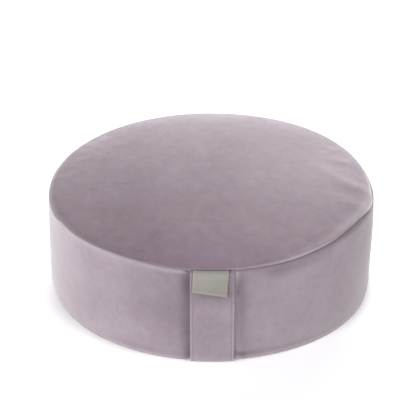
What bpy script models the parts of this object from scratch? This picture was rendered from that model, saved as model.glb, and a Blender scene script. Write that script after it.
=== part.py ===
"""Round meditation cushion: a filled velvet drum with a carrying strap and a ribbon label.

Metres, +Z up. The origin is on the floor under the middle of the drum, and the strap faces -Y.
Azimuths are in degrees about +Z from +X, so the strap is at -90.
"""

import math
from collections import namedtuple

import bmesh
import bpy

# Drum
RADIUS = 0.2095         # side band at its seams
RIM_HEIGHT = 0.1312     # floor to the crest of the plain drum's top edge
CROWN = 0.008           # rise of the top panel's middle above that edge
FALL = 0.0035           # and how much more it rises close to the edge
FALL_POWER = 8.0        # how close
BULGE = 0.0008          # how much fuller the band is halfway up
TOP_EDGE = 0.008        # rounding of the top edge
BASE_EDGE = 0.005       # rounding of the bottom edge
STEPS = 96              # sections round the drum

# Sewn seams: a seam is a crevice in a rounded edge, at an angle up from the horizontal
SEAM_WIDTH = 12.0       # degrees of the edge over which the cloth rolls into the crevice
NOTCH_WIDTH = 4.0       # the same where the top panel closes down on the strap
TOP_SEAM = 50.0         # of the plain drum, before it wanders
TOP_SEAM_ROLL = 40.0    # least angle over which the band rolls up into the top seam
BASE_SEAM = -15.0
BASE_SEAM_DEPTH = 0.002

# Carrying strap, folded double
STRAP_AZIMUTH = -90.0
STRAP_WIDTH = 0.0544
STRAP_THICK = 0.0034
STRAP_BEND = 0.0012     # rounding of its folded edges
STRAP_FLATTEN = 0.6     # how far its middle leaves the drum's curve for a flat one
STRAP_CELLS = (8, 30)   # faces across and along
STRAP_END_ROWS = 0.75   # how much closer its rows of points are at the bent ends
CUT_CORNER = 60.0       # degrees: sharper than any bend along the strap
CHANNEL_DEPTH = 0.0037  # how far the band is pressed in behind the strap
CHANNEL_HALF = 0.028    # half of the channel's full depth, round the drum
CHANNEL_FADE = 0.013    # and how soon the band is full again beside it
TOP_NOTCH = 0.0026      # crevice bottom to the centre of the top edge, at the strap
BASE_NOTCH = 0.0010     # the same at the bottom edge

# Ribbon label, caught in the top seam over the strap
LABEL_THICK = 0.0010
LABEL_TUCK = 0.003      # length inside the seam
LABEL_LIFT_LEFT = 0.0014
LABEL_LIFT_RIGHT = 0.0035
LABEL_CELLS = (6, 12)
LABEL_TOP_ROWS = 1.5    # how much closer its rows of points are at the bent top
PIECE_GAP = 0.0005

# How the top seam wanders over its edge, low where the panel's roll hangs over the band, and its depth
Wander = namedtuple("Wander", "azimuth seam depth")
TOP_SEAM_WANDER = (
    Wander(azimuth=-162, seam=14, depth=0.0020),
    Wander(azimuth=-153, seam=44, depth=0.0022),
    Wander(azimuth=-146, seam=44, depth=0.0022),
    Wander(azimuth=-138, seam=54, depth=0.0022),
    Wander(azimuth=-126, seam=65, depth=0.0024),
    Wander(azimuth=-116, seam=64, depth=0.0026),
    Wander(azimuth=-102, seam=50, depth=0.0028),
    Wander(azimuth=-76, seam=52, depth=0.0028),
    Wander(azimuth=-64, seam=45, depth=0.0030),
    Wander(azimuth=-46, seam=50, depth=0.0034),
    Wander(azimuth=-34, seam=65, depth=0.0036),
    Wander(azimuth=-26, seam=62, depth=0.0036),
    Wander(azimuth=-12, seam=8, depth=0.0030),
    Wander(azimuth=-1, seam=30, depth=0.0030),
    Wander(azimuth=45, seam=38, depth=0.0030),
    Wander(azimuth=135, seam=40, depth=0.0030),
    Wander(azimuth=168, seam=8, depth=0.0020),
)

# Where the filling makes the drum fuller or slacker than round
Fullness = namedtuple("Fullness", "azimuth spread height reach out")
UNEVEN = (
    Fullness(azimuth=-42, spread=26, height=0.010, reach=0.045, out=0.0032),
    Fullness(azimuth=-122, spread=30, height=0.010, reach=0.035, out=0.0014),
    Fullness(azimuth=-6, spread=16, height=0.028, reach=0.030, out=-0.0010),
    Fullness(azimuth=6, spread=9, height=0.130, reach=0.014, out=-0.0014),
    Fullness(azimuth=48, spread=24, height=0.125, reach=0.045, out=0.0026),
    Fullness(azimuth=-2, spread=24, height=0.110, reach=0.050, out=0.0012),
)

# Where the top panel's edge stands higher than round
Lift = namedtuple("Lift", "azimuth spread height")
EDGE_LIFT = Lift(azimuth=-44, spread=26, height=0.0040)

# Middle line of the strap: out from the band's radius, and height
Station = namedtuple("Station", "out height")
STRAP_STATIONS = (
    Station(out=-0.0040, height=0.1289),
    Station(out=-0.0023, height=0.1273),
    Station(out=-0.0016, height=0.1248),
    Station(out=-0.0010, height=0.1180),
    Station(out=0.0025, height=0.1050),
    Station(out=0.0060, height=0.0880),
    Station(out=0.0074, height=0.0680),
    Station(out=0.0067, height=0.0480),
    Station(out=0.0045, height=0.0290),
    Station(out=0.0032, height=0.0150),
    Station(out=0.0034, height=0.0090),
    Station(out=0.0029, height=0.0052),
    Station(out=0.0008, height=0.0024),
    Station(out=-0.0040, height=0.0019),
)

# The label's sides, across from the strap's middle at the seam and at its lower corner, and their length
Side = namedtuple("Side", "at_seam at_corner length")
LABEL_LEFT = Side(at_seam=-0.0229, at_corner=-0.0245, length=0.0227)
LABEL_RIGHT = Side(at_seam=0.0203, at_corner=0.0180, length=0.0282)

# Where the turned profile has its rings
PANEL_RINGS = (0.0, 0.20, 0.40, 0.58, 0.72, 0.82, 0.90, 0.96)
TOP_EDGE_RINGS = (90, 74, 60, 54, 50, 45, 38, 26, 12, 0)
BAND_RINGS = 7
BASE_EDGE_RINGS = (0, -8, -12, -15, -19, -28, -45, -66, -90)
BASE_RINGS = (0.98, 0.5, 0.0)

TOP_CENTRE = Station(out=-TOP_EDGE, height=RIM_HEIGHT - TOP_EDGE)
BASE_CENTRE = Station(out=-BASE_EDGE, height=BASE_EDGE)
MERGE = 0.00001

Finish = namedtuple("Finish", "name colour roughness sheen")
CUSHION_VELVET = Finish(name="cushion_velvet", colour=(0.33, 0.25, 0.30), roughness=0.9, sheen=0.6)
STRAP_VELVET = Finish(name="strap_velvet", colour=(0.34, 0.27, 0.31), roughness=0.9, sheen=0.6)
LABEL_RIBBON = Finish(name="label_ribbon", colour=(0.38, 0.37, 0.33), roughness=0.8, sheen=0.1)


def clear_scene():
    for item in list(bpy.data.objects):
        bpy.data.objects.remove(item, do_unlink=True)


def mix(low, high, part):
    return low + (high - low) * part


def ease(part):
    part = min(max(part, 0.0), 1.0)
    return part * part * (3.0 - 2.0 * part)


def hill(distance, spread):
    return math.exp(-((distance / spread) ** 2))


def apart(azimuth, other):
    """Signed angle from other to azimuth, in degrees."""
    return (azimuth - other + 180.0) % 360.0 - 180.0


def top_seam(azimuth):
    """The top seam's angle on its edge and its depth, smoothly between the rows of its table."""
    rows = TOP_SEAM_WANDER
    for row, following in zip(rows, rows[1:] + rows[:1]):
        span = apart(following.azimuth, row.azimuth) % 360.0
        past = apart(azimuth, row.azimuth) % 360.0
        if past < span:
            part = ease(past / span)
            return mix(row.seam, following.seam, part), mix(row.depth, following.depth, part)
    return rows[0].seam, rows[0].depth


def channel(azimuth):
    """1 behind the strap, 0 clear of it."""
    off_middle = math.radians(abs(apart(azimuth, STRAP_AZIMUTH))) * RADIUS
    return ease((CHANNEL_HALF + CHANNEL_FADE - off_middle) / CHANNEL_FADE)


def uneven(azimuth, height):
    total = 0.0
    for row in UNEVEN:
        beside = hill(apart(azimuth, row.azimuth), row.spread)
        total += row.out * beside * hill(height - row.height, row.reach)
    return total


def panel_rise(radius, azimuth):
    """How far the filling lifts the top panel above the plain drum."""
    part = min(radius / RADIUS, 1.0)
    edge = EDGE_LIFT.height * hill(apart(azimuth, EDGE_LIFT.azimuth), EDGE_LIFT.spread)
    return CROWN * (1.0 - part ** 2) + FALL + (edge - FALL) * part ** FALL_POWER


def creviced(shoulder, bottom, off_seam, width=SEAM_WIDTH):
    """Distance from an edge's centre where its cloth rolls from a shoulder into a seam."""
    return shoulder - (shoulder - bottom) * math.exp(-abs(off_seam) / width)


def top_edge_point(angle, azimuth):
    """A point of the top edge: round above the horizontal, and straight down the band below it."""
    seam, depth = top_seam(azimuth)
    if angle < TOP_SEAM:
        angle = mix(min(seam - TOP_SEAM_ROLL, 0.0), seam, angle / TOP_SEAM)
        shoulder = (TOP_EDGE - CHANNEL_DEPTH * channel(azimuth)) / math.cos(math.radians(min(angle, 0.0)))
        width = SEAM_WIDTH
    else:
        angle = mix(seam, 90.0, (angle - TOP_SEAM) / (90.0 - TOP_SEAM))
        shoulder = TOP_EDGE
        width = mix(SEAM_WIDTH, NOTCH_WIDTH, channel(azimuth))
    bottom = mix(TOP_EDGE - depth, TOP_NOTCH, channel(azimuth))
    reach = creviced(shoulder, bottom, angle - seam, width)
    out = TOP_CENTRE.out + reach * math.cos(math.radians(angle))
    return RADIUS + out, TOP_CENTRE.height + reach * math.sin(math.radians(angle))


def base_edge_point(angle, azimuth):
    shoulder = BASE_EDGE - CHANNEL_DEPTH * channel(azimuth)
    bottom = mix(BASE_EDGE - BASE_SEAM_DEPTH, BASE_NOTCH, channel(azimuth))
    reach = creviced(shoulder, bottom, angle - BASE_SEAM)
    out = BASE_CENTRE.out + reach * math.cos(math.radians(angle))
    height = BASE_CENTRE.height + reach * math.sin(math.radians(angle))
    return RADIUS + out, height if angle > -90.0 or channel(azimuth) > 0.0 else 0.0


def band_point(height, azimuth):
    part = (height - BASE_CENTRE.height) / (TOP_CENTRE.height - BASE_CENTRE.height)
    return RADIUS + BULGE * math.sin(math.pi * part) - CHANNEL_DEPTH * channel(azimuth), height


def settled(radius, height, azimuth):
    """Where the filled, sewn cover holds a point of the plain turned drum."""
    if height > TOP_CENTRE.height - MERGE and radius > RADIUS - TOP_EDGE - MERGE:
        angle = math.degrees(math.atan2(height - TOP_CENTRE.height, radius - RADIUS - TOP_CENTRE.out))
        radius, height = top_edge_point(angle, azimuth)
        height += panel_rise(radius, azimuth)
    elif height > TOP_CENTRE.height + MERGE:
        height += panel_rise(radius, azimuth)
    elif height > BASE_CENTRE.height - MERGE:
        radius, height = band_point(height, azimuth)
    elif radius > RADIUS - BASE_EDGE - MERGE:
        angle = math.degrees(math.atan2(height - BASE_CENTRE.height, radius - RADIUS - BASE_CENTRE.out))
        radius, height = base_edge_point(angle, azimuth)
    radius += uneven(azimuth, height) * ease(radius / RADIUS)
    return radius, height


def turned_profile():
    """Half section of the plain drum, from the middle of its top round to the middle of its base."""
    rows = [(part * (RADIUS - TOP_EDGE), RIM_HEIGHT) for part in PANEL_RINGS]
    for angle in TOP_EDGE_RINGS:
        turn = math.radians(angle)
        out = TOP_CENTRE.out + TOP_EDGE * math.cos(turn)
        rows.append((RADIUS + out, TOP_CENTRE.height + TOP_EDGE * math.sin(turn)))
    for ring in range(1, BAND_RINGS + 1):
        rows.append((RADIUS, mix(TOP_CENTRE.height, BASE_CENTRE.height, ring / (BAND_RINGS + 1))))
    for angle in BASE_EDGE_RINGS:
        turn = math.radians(angle)
        out = BASE_CENTRE.out + BASE_EDGE * math.cos(turn)
        rows.append((RADIUS + out, BASE_CENTRE.height + BASE_EDGE * math.sin(turn)))
    rows += [(part * (RADIUS - BASE_EDGE), 0.0) for part in BASE_RINGS]
    return rows


def linked(name, mesh, collection):
    item = bpy.data.objects.new(name, mesh)
    collection.objects.link(item)
    return item


def applied(item):
    """Gives an object the mesh that its modifiers make of it."""
    graph = bpy.context.evaluated_depsgraph_get()
    mesh = bpy.data.meshes.new_from_object(item.evaluated_get(graph))
    item.modifiers.clear()
    item.data = mesh
    return mesh


def make_cushion(collection):
    """Top panel, side band and bottom panel, sewn together and filled: one solid."""
    rows = turned_profile()
    mesh = bpy.data.meshes.new("cushion_profile")
    mesh.from_pydata([(radius, 0.0, height) for radius, height in rows],
                     [(row, row + 1) for row in range(len(rows) - 1)], [])
    cushion = linked("cushion", mesh, collection)
    turn = cushion.modifiers.new("Turn", "SCREW")
    turn.axis = "Z"
    turn.angle = 2.0 * math.pi
    turn.steps = STEPS
    turn.render_steps = STEPS
    turn.use_merge_vertices = True
    turn.merge_threshold = MERGE
    mesh = applied(cushion)
    form = bmesh.new()
    form.from_mesh(mesh)
    bmesh.ops.remove_doubles(form, verts=form.verts, dist=MERGE)
    for vertex in form.verts:
        azimuth = math.degrees(math.atan2(vertex.co.y, vertex.co.x))
        radius, height = settled(math.hypot(vertex.co.x, vertex.co.y), vertex.co.z, azimuth)
        turn_to = math.radians(azimuth)
        vertex.co = (radius * math.cos(turn_to), radius * math.sin(turn_to), height)
    form.to_mesh(mesh)
    form.free()
    mesh.shade_smooth()
    return cushion


def smooth_line(stations, steps=12):
    """Points of a smooth curve through the stations, as (out, height)."""
    ends = [stations[0]] + list(stations) + [stations[-1]]
    points = []
    for before, start, end, after in zip(ends, ends[1:], ends[2:], ends[3:]):
        for step in range(steps):
            part = step / steps
            points.append(tuple(
                0.5 * (2 * b + (c - a) * part + (2 * a - 5 * b + 4 * c - d) * part ** 2
                       + (3 * b - a - 3 * c + d) * part ** 3)
                for a, b, c, d in zip(before, start, end, after)))
    points.append(tuple(stations[-1]))
    return points


def run_lengths(points):
    lengths = [0.0]
    for start, end in zip(points, points[1:]):
        lengths.append(lengths[-1] + math.dist(start, end))
    return lengths


STRAP_LINE = smooth_line(STRAP_STATIONS)
STRAP_RUN = run_lengths(STRAP_LINE)
STRAP_LENGTH = STRAP_RUN[-1]


def along_strap(distance, lift=0.0):
    """(out, height) on the strap's middle line at a distance from its top end, lifted off it."""
    distance = min(max(distance, 0.0), STRAP_LENGTH)
    index = max(i for i, run in enumerate(STRAP_RUN[:-1]) if run <= distance)
    start = STRAP_LINE[index]
    end = STRAP_LINE[index + 1]
    span = STRAP_RUN[index + 1] - STRAP_RUN[index]
    part = (distance - STRAP_RUN[index]) / span
    off = ((start[1] - end[1]) / span, (end[0] - start[0]) / span)
    return (mix(start[0], end[0], part) + off[0] * lift, mix(start[1], end[1], part) + off[1] * lift)


def strap_place(distance, across, lift=0.0):
    """World point over the strap: down from its top end, across from its middle, lifted off it."""
    out, height = along_strap(distance, lift)
    radius = RADIUS + out
    turn = across / radius
    flat = STRAP_FLATTEN * math.sin(math.pi * distance / STRAP_LENGTH) * radius * (1.0 - math.cos(turn))
    return radius * math.sin(turn), -radius * math.cos(turn) - flat, height


def cloth_grid(name, collection, cells, thick, place):
    """A sheet of cloth: a grid whose points place() puts from parts 0 to 1 across and down."""
    form = bmesh.new()
    bmesh.ops.create_grid(form, x_segments=cells[0], y_segments=cells[1], size=0.5)
    for vertex in form.verts:
        vertex.co = place(vertex.co.x + 0.5, 0.5 - vertex.co.y)
    bmesh.ops.recalc_face_normals(form, faces=form.faces)
    mesh = bpy.data.meshes.new(name)
    form.to_mesh(mesh)
    form.free()
    sheet = linked(name, mesh, collection)
    shell = sheet.modifiers.new("Thickness", "SOLIDIFY")
    shell.thickness = thick
    shell.offset = 0.0
    shell.use_even_offset = True
    return sheet


def make_strap(collection):
    """Velvet folded to two layers, its ends caught in the top and bottom seams."""
    def place(across, down):
        down -= STRAP_END_ROWS * math.sin(2.0 * math.pi * down) / (2.0 * math.pi)
        return strap_place(down * STRAP_LENGTH, (across - 0.5) * STRAP_WIDTH)

    strap = cloth_grid("handle_strap", collection, STRAP_CELLS, STRAP_THICK, place)
    bend = strap.modifiers.new("Folded edges", "BEVEL")
    bend.width = STRAP_BEND
    bend.segments = 2
    bend.limit_method = "ANGLE"
    bend.angle_limit = math.radians(CUT_CORNER)
    return strap


def make_label(collection):
    """Grey ribbon, a little askew, its lower edge standing off the strap."""
    rest = (STRAP_THICK + LABEL_THICK) / 2 + PIECE_GAP

    def place(across, down):
        down **= LABEL_TOP_ROWS
        left = mix(LABEL_LEFT.at_seam, LABEL_LEFT.at_corner, down)
        right = mix(LABEL_RIGHT.at_seam, LABEL_RIGHT.at_corner, down)
        length = LABEL_TUCK + mix(LABEL_LEFT.length, LABEL_RIGHT.length, across)
        lift = mix(LABEL_LIFT_LEFT, LABEL_LIFT_RIGHT, across) * down ** 2
        return strap_place(down * length, mix(left, right, across), rest + lift)

    return cloth_grid("label", collection, LABEL_CELLS, LABEL_THICK, place)


def finish(item, look):
    material = bpy.data.materials.new(look.name)
    material.use_nodes = True
    shader = material.node_tree.nodes["Principled BSDF"]
    shader.inputs["Base Color"].default_value = (*look.colour, 1.0)
    shader.inputs["Roughness"].default_value = look.roughness
    shader.inputs["Metallic"].default_value = 0.0
    shader.inputs["Sheen Weight"].default_value = look.sheen
    item.data.materials.append(material)


def main():
    clear_scene()
    collection = bpy.data.collections.new("Meditation cushion")
    bpy.context.scene.collection.children.link(collection)
    finish(make_cushion(collection), CUSHION_VELVET)
    finish(make_strap(collection), STRAP_VELVET)
    finish(make_label(collection), LABEL_RIBBON)


main()
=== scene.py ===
"""Looks of the round meditation cushion: a filled velvet drum, its carrying strap and ribbon label.

Metres, +Z up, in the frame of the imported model. The strap faces -Y, at azimuth -90.
Azimuths are in degrees about +Z from +X, and edge angles in degrees up from the horizontal.
"""

import math
from collections import namedtuple

import bmesh
import bpy
import numpy as np
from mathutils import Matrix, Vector


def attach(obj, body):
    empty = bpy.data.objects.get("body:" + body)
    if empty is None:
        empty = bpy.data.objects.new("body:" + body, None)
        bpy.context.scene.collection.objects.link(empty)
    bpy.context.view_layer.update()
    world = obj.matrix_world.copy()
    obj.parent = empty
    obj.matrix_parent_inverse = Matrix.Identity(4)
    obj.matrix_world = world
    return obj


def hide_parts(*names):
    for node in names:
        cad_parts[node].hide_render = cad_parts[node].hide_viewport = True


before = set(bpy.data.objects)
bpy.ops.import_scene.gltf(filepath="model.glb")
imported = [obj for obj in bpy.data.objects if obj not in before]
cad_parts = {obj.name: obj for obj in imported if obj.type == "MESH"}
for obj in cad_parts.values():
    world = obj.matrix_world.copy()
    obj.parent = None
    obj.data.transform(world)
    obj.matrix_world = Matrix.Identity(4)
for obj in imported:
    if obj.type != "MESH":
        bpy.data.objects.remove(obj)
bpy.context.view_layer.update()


def table(columns, *rows):
    """Rows of a table whose columns are read by name."""
    Row = namedtuple("Row", columns)
    return tuple(Row(*row) for row in rows)


# Drum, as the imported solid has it: the top panel rises by CROWN to its middle and falls by FALL to its edge
RADIUS = 0.2095
RIM_HEIGHT = 0.1312
CROWN = 0.008
FALL = 0.0035
FALL_POWER = 8
BULGE = 0.0008
TOP_EDGE = 0.008
BASE_EDGE = 0.005

# Sewn seams: the band rolls up into the top seam over the angle below it, and the base seam is a crevice
TOP_SEAM_ROLL = 40.0
BASE_SEAM = -15.0
BASE_SEAM_DEPTH = 0.0020
BASE_SEAM_WIDTH = 12.0

# Channel behind the strap, where the band is drawn in: its soft sides widen up to CHANNEL_WIDENS, and
# TOP_NOTCH and BASE_NOTCH are how far the seams lie from the middle of their rounded edges
STRAP_AZIMUTH = -90.0
CHANNEL_DEPTH = 0.0037
CHANNEL_HALF = 0.028
CHANNEL_FADE = 0.013
CHANNEL_BASE_FADE = 0.004
CHANNEL_WIDENS = 0.030
NOTCH_WIDTH = 4.0
TOP_NOTCH = 0.0026
BASE_NOTCH = 0.0010

# How the top seam wanders over its edge, with the depth of its crevice, and over how many degrees
# the panel and the band roll into it
TOP_SEAM_WANDER = table(
    "azimuth seam depth panel band",
    (-162, 14, 0.0010, 3, 6),
    (-153, 44, 0.0006, 2, 3),
    (-146, 44, 0.0006, 2, 3),
    (-138, 54, 0.0006, 2, 3),
    (-126, 65, 0.0006, 2, 3),
    (-116, 64, 0.0007, 2, 3),
    (-102, 50, 0.0009, 2, 4),
    (-76, 52, 0.0016, 6, 7),
    (-64, 45, 0.0021, 6, 8),
    (-46, 50, 0.0028, 7, 10),
    (-34, 65, 0.0033, 8, 11),
    (-26, 62, 0.0034, 8, 11),
    (-12, 8, 0.0032, 8, 11),
    (-1, 34, 0.0044, 8, 8),
    (45, 38, 0.0034, 10, 10),
    (135, 40, 0.0034, 10, 10),
    (168, 8, 0.0014, 5, 8),
)

# Where the filling makes the drum fuller or slacker than round
UNEVEN = table(
    "azimuth spread height reach out",
    (-42, 26, 0.010, 0.045, 0.0032),
    (-122, 30, 0.010, 0.035, 0.0014),
    (-6, 16, 0.028, 0.030, -0.0010),
    (6, 9, 0.130, 0.014, -0.0014),
    (48, 24, 0.125, 0.045, 0.0026),
    (-2, 24, 0.110, 0.050, 0.0012),
    (-58, 22, 0.0095, 0.0022, -0.0010),
)

# Where the top panel's edge stands higher than round
EDGE_LIFT = 0.0040
EDGE_LIFT_AZIMUTH = -44
EDGE_LIFT_SPREAD = 26

# Soft creases of the top panel: middle, direction in degrees from +X, half length, half width and height
CREASES = table(
    "x y turn long wide height",
    (0.184, -0.012, -41, 0.036, 0.011, 0.0009),
    (0.145, 0.028, -52, 0.024, 0.010, 0.0004),
    (0.178, -0.056, -25, 0.020, 0.010, 0.0004),
    (0.170, 0.055, -24, 0.022, 0.009, 0.0004),
    (0.150, 0.092, -10, 0.018, 0.007, 0.0002),
    (-0.140, 0.118, 40, 0.020, 0.006, 0.0003),
    (-0.160, 0.090, 15, 0.012, 0.005, 0.0002),
    (-0.163, 0.065, 28, 0.020, 0.006, 0.0003),
    (-0.120, -0.005, -4, 0.050, 0.0035, 0.00012),
)

# Slack of the cover's cloth, found by a cloth simulation on a coarser drum. It starts a little uneven, and
# is held at the top seam, from the base edge down, and SLACK_PINNED_RUN from the middle of the top.
SLACK_STEPS = 180
SLACK_CELL = 0.0065
SLACK_SEAM_CLEAR = 0.7
SLACK_PINNED_RUN = 0.040
SLACK_START = 0.0002
SLACK_SEED = 7
SLACK_FRAMES = 20
SLACK_CLOTH = {
    "quality": 6,
    "mass": 0.3,
    "tension_stiffness": 18.0,
    "compression_stiffness": 18.0,
    "shear_stiffness": 8.0,
    "bending_stiffness": 1.5,
    "use_pressure": True,
    "uniform_pressure_force": 4.0,
    "shrink_min": -0.006,
}

# How much of that slack shows: its limit, from where on the panel it sets in, and its share round the drum
SLACK_LIMIT = 0.0008
SLACK_FROM = 0.060
SLACK_FULL = 0.185
SLACK = table(
    "azimuth share",
    (-150, 0.12),
    (-60, 0.12),
    (-15, 0.09),
    (25, 0.09),
    (60, 0.08),
    (120, 0.08),
    (150, 0.14),
)

# Painted light and shade: how much lighter or darker than plain the band's pile is painted round the drum,
# beside the strap too
BAND_PAINTED_LIGHT = table(
    "azimuth tone",
    (-165, 0.16),
    (-131, 0.00),
    (-109, -0.10),
    (-99.5, -0.11),
    (-98, -0.24),
    (-96, -0.30),
    (-83, 0.80),
    (-82, 0.74),
    (-81.3, 0.32),
    (-80.6, 0.02),
    (-79.9, -0.07),
    (-79.0, -0.08),
    (-77.8, 0.00),
    (-76.5, 0.05),
    (-72, 0.06),
    (-54, 0.07),
    (-28, 0.00),
    (-12, -0.14),
    (0, -0.22),
    (20, -0.16),
    (60, -0.18),
    (140, -0.18),
    (170, 0.00),
)

# Painted light and shade in single patches of the band, about an azimuth and a height, with painted shadows
# in the gaps beside the strap
BAND_PAINTED_PATCHES = table(
    "azimuth spread height reach tone",
    (-98.8, 1.7, 0.112, 0.018, -0.28),
    (-81.6, 1.4, 0.113, 0.020, -0.52),
    (-80, 2.4, 0.098, 0.020, -0.06),
    (-114, 9, 0.040, 0.022, 0.10),
    (-106, 4, 0.080, 0.020, -0.07),
    (-62, 7, 0.075, 0.030, 0.03),
    (-40, 5, 0.100, 0.016, -0.06),
    (-28, 11, 0.050, 0.036, 0.06),
    (-16, 12, 0.112, 0.028, -0.07),
)

# Painted light and shade on the top panel, in soft round patches: lighter toward the right, darker toward the
# front left
PANEL_PAINTED_LIGHT = table(
    "x y reach tone",
    (0.15, 0.02, 0.10, 0.26),
    (0.09, -0.13, 0.06, 0.08),
    (0.02, -0.18, 0.045, 0.08),
    (0.00, 0.17, 0.05, 0.05),
    (-0.10, -0.10, 0.08, -0.10),
    (-0.13, -0.13, 0.05, -0.05),
    (-0.16, 0.00, 0.07, -0.08),
)

# Painted light and shade beside the top seam, painted highlights on its rolled lips and painted shade along
# it, on its panel side and its band side: tone, how far off the seam, and reach
SEAM_PAINTED_LIGHT = table(
    "azimuth panel panel_off panel_reach band band_off band_reach",
    (-168, -0.14, 0.000, 0.014, 0.13, 0.000, 0.005),
    (-135, -0.16, 0.000, 0.018, 0.46, 0.000, 0.0039),
    (-118, -0.14, 0.000, 0.018, 0.42, 0.000, 0.0039),
    (-108, -0.06, 0.000, 0.012, 0.50, 0.000, 0.0038),
    (-100, -0.06, 0.000, 0.006, 0.66, 0.000, 0.0037),
    (-98, -0.24, 0.000, 0.004, 0.00, 0.000, 0.005),
    (-81, -0.08, 0.000, 0.004, 0.10, 0.000, 0.006),
    (-75, 0.10, 0.003, 0.004, -0.03, 0.006, 0.006),
    (-68, 0.22, 0.004, 0.005, -0.26, 0.009, 0.007),
    (-59, 0.50, 0.004, 0.007, -0.22, 0.009, 0.007),
    (-51, 0.46, 0.006, 0.008, -0.20, 0.009, 0.007),
    (-42, 0.42, 0.009, 0.009, -0.02, 0.006, 0.007),
    (-35, 0.46, 0.011, 0.010, -0.02, 0.005, 0.008),
    (-18, 0.75, 0.007, 0.009, 0.02, 0.004, 0.008),
    (10, 0.00, 0.004, 0.010, 0.00, 0.000, 0.010),
    (165, -0.08, 0.000, 0.010, 0.00, 0.000, 0.008),
)
# Painted shade on the panel's edge right at the top seam
SEAM_EDGE_SHADE = -0.08
SEAM_EDGE_REACH = 0.0030

# Painted sheen: the panel's very edge is painted greyer, and where the painted light is well above plain
# the pile is painted toward a pale neutral, as a painted sheen
EDGE_SHEEN_PILE = (0.28, 0.25, 0.27)
EDGE_SHEEN_SHARE = 0.65
EDGE_SHEEN_REACH = 0.0075
PAINTED_SHEEN_PILE = (0.46, 0.43, 0.45)
PAINTED_SHEEN_SHARE = 0.85
PAINTED_SHEEN_FROM = 1.0
PAINTED_SHEEN_FULL = 2.0

# Painted light and shade near the floor: on the rolled lip below the base seam, on a line over it painted
# dark, and at the foot of the band
BASE_PAINTED_LIGHT = table(
    "azimuth lip line foot",
    (-165, -0.12, 0.00, 0.04),
    (-135, -0.06, 0.00, 0.06),
    (-118, 0.14, -0.12, 0.12),
    (-103, 0.16, -0.04, 0.16),
    (-98, 0.16, -0.08, 0.06),
    (-83, 0.16, -0.72, -0.08),
    (-78, 0.22, -0.28, 0.00),
    (-70, 0.18, -0.12, 0.05),
    (-45, 0.16, -0.10, 0.05),
    (-25, 0.08, 0.00, 0.08),
    (90, 0.06, 0.00, 0.00),
)
BASE_LIP = 0.0065
BASE_LINE = 0.0104
BASE_LINE_REACH = 0.0034
BASE_FOOT = 0.035
UNDERSIDE_INSET = 0.012

# Fineness of the drum's cloth: points round it, rings in each part, and the powers that crowd the rings
# at the seams. The base panel's outermost ring is a share of the rounded edge's inner one.
STEPS = 360
PANEL_ROWS = 56
EDGE_ROWS = 22
BAND_ROWS = 34
BASE_EDGE_ROWS = 12
BASE_ROWS = 18
TOP_SEAM_CROWDING = 1.7
OVER_BASE_SEAM_CROWDING = 1.6
UNDER_BASE_SEAM_CROWDING = 1.8
BASE_SHARE = 0.985

# Carrying strap: folded double, so it is thickest at its folds, pinched by its topstitching, and thinner
# between the two rows of it
STRAP_WIDTH = 0.0544
STRAP_THICK = 0.0034
STRAP_FLATTEN = 0.6
STRAP_THINNER = 0.00022
STRAP_THINNER_FADE = 0.004
STITCH_INSET = 0.0033
STITCH_DIP = 0.00075
STITCH_DIP_WIDTH = 0.0009

# The strap's middle line, from the top seam to the bottom seam: out from the drum's radius, and height
STRAP_STATIONS = table(
    "out height",
    (-0.0040, 0.1289),
    (-0.0023, 0.1273),
    (-0.0016, 0.1248),
    (-0.0010, 0.1180),
    (0.0025, 0.1050),
    (0.0060, 0.0880),
    (0.0074, 0.0680),
    (0.0067, 0.0480),
    (0.0045, 0.0290),
    (0.0032, 0.0150),
    (0.0034, 0.0090),
    (0.0029, 0.0052),
    (0.0008, 0.0024),
    (-0.0040, 0.0019),
)
STEPS_BETWEEN_STATIONS = 12
STRAP_SLOPE_STEPS = 400.0

# Fineness of the strap: its columns crowd at the folds and its rows at the ends
STRAP_FACE_COLUMNS = 76
STRAP_COLUMN_SWEEP = 0.999
STRAP_COLUMN_CROWDING = 0.7
STRAP_ROWS = 140
STRAP_ROW_CROWDING = 0.6

# Painted light and shade on the strap: down its length, painted highlights along its stitched edges, painted
# shade on its folds, and the label's painted shadow
STRAP_PAINTED_LIGHT = table(
    "distance tone",
    (0.000, 0.88),
    (0.030, 0.90),
    (0.050, 1.01),
    (0.080, 0.95),
    (0.115, 1.00),
    (0.136, 1.18),
)
STRAP_EDGE_HIGHLIGHT = 0.10
STRAP_EDGE_FADE = 0.001
STRAP_FOLD = 0.0014
STRAP_FOLD_SHADE = -0.38
LABEL_SHADE = -0.20
LABEL_SHADE_REACH = 0.005
LABEL_SHADE_MIDDLE = 0.55
LABEL_SHADE_FALL = 2.0
LABEL_SHADE_FULL = 0.35

# Topstitching: each stitch is a ball 1 across, scaled to its length and the thread's thickness, and the
# thread's middle stands over the velvet by a share of that thickness
STITCH_PITCH = 0.0030
STITCH_LENGTH = 0.0025
STITCH_FROM_TOP = 0.0035
STITCH_FROM_FOOT = 0.004
STITCH_LINE_POINTS = 240
STITCH_SEGMENTS = 8
STITCH_RINGS = 6
STITCH_BALL_RADIUS = 0.5
THREAD = 0.00055
THREAD_PROUD = 0.15

# Ribbon label, folded in two: its sides, across from the strap's middle at the seam and at the corner
LABEL_LEFT, LABEL_RIGHT = table(
    "at_seam at_corner length lift",
    (-0.0229, -0.0245, 0.0227, 0.0014),
    (0.0203, 0.0180, 0.0282, 0.0035),
)
LABEL_TUCK = 0.003
LABEL_REST = 0.0024
RIBBON_THICK = 0.00032
RIBBON_LAYERS_APART = 0.0005
RIBBON_OPENS = 0.0007
RIBBON_FOLD_ROUNDING = 0.00005
RIBBON_FOLD_PUFF = 0.0005
RIBBON_PUFF_OFF = 0.0022
RIBBON_PUFF_REACH = 0.0024
RIB_PITCH = 0.0011
RIB_HEIGHT = 0.00006
RIBBON_COLUMNS = 26
RIBBON_ROWS = 330


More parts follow.
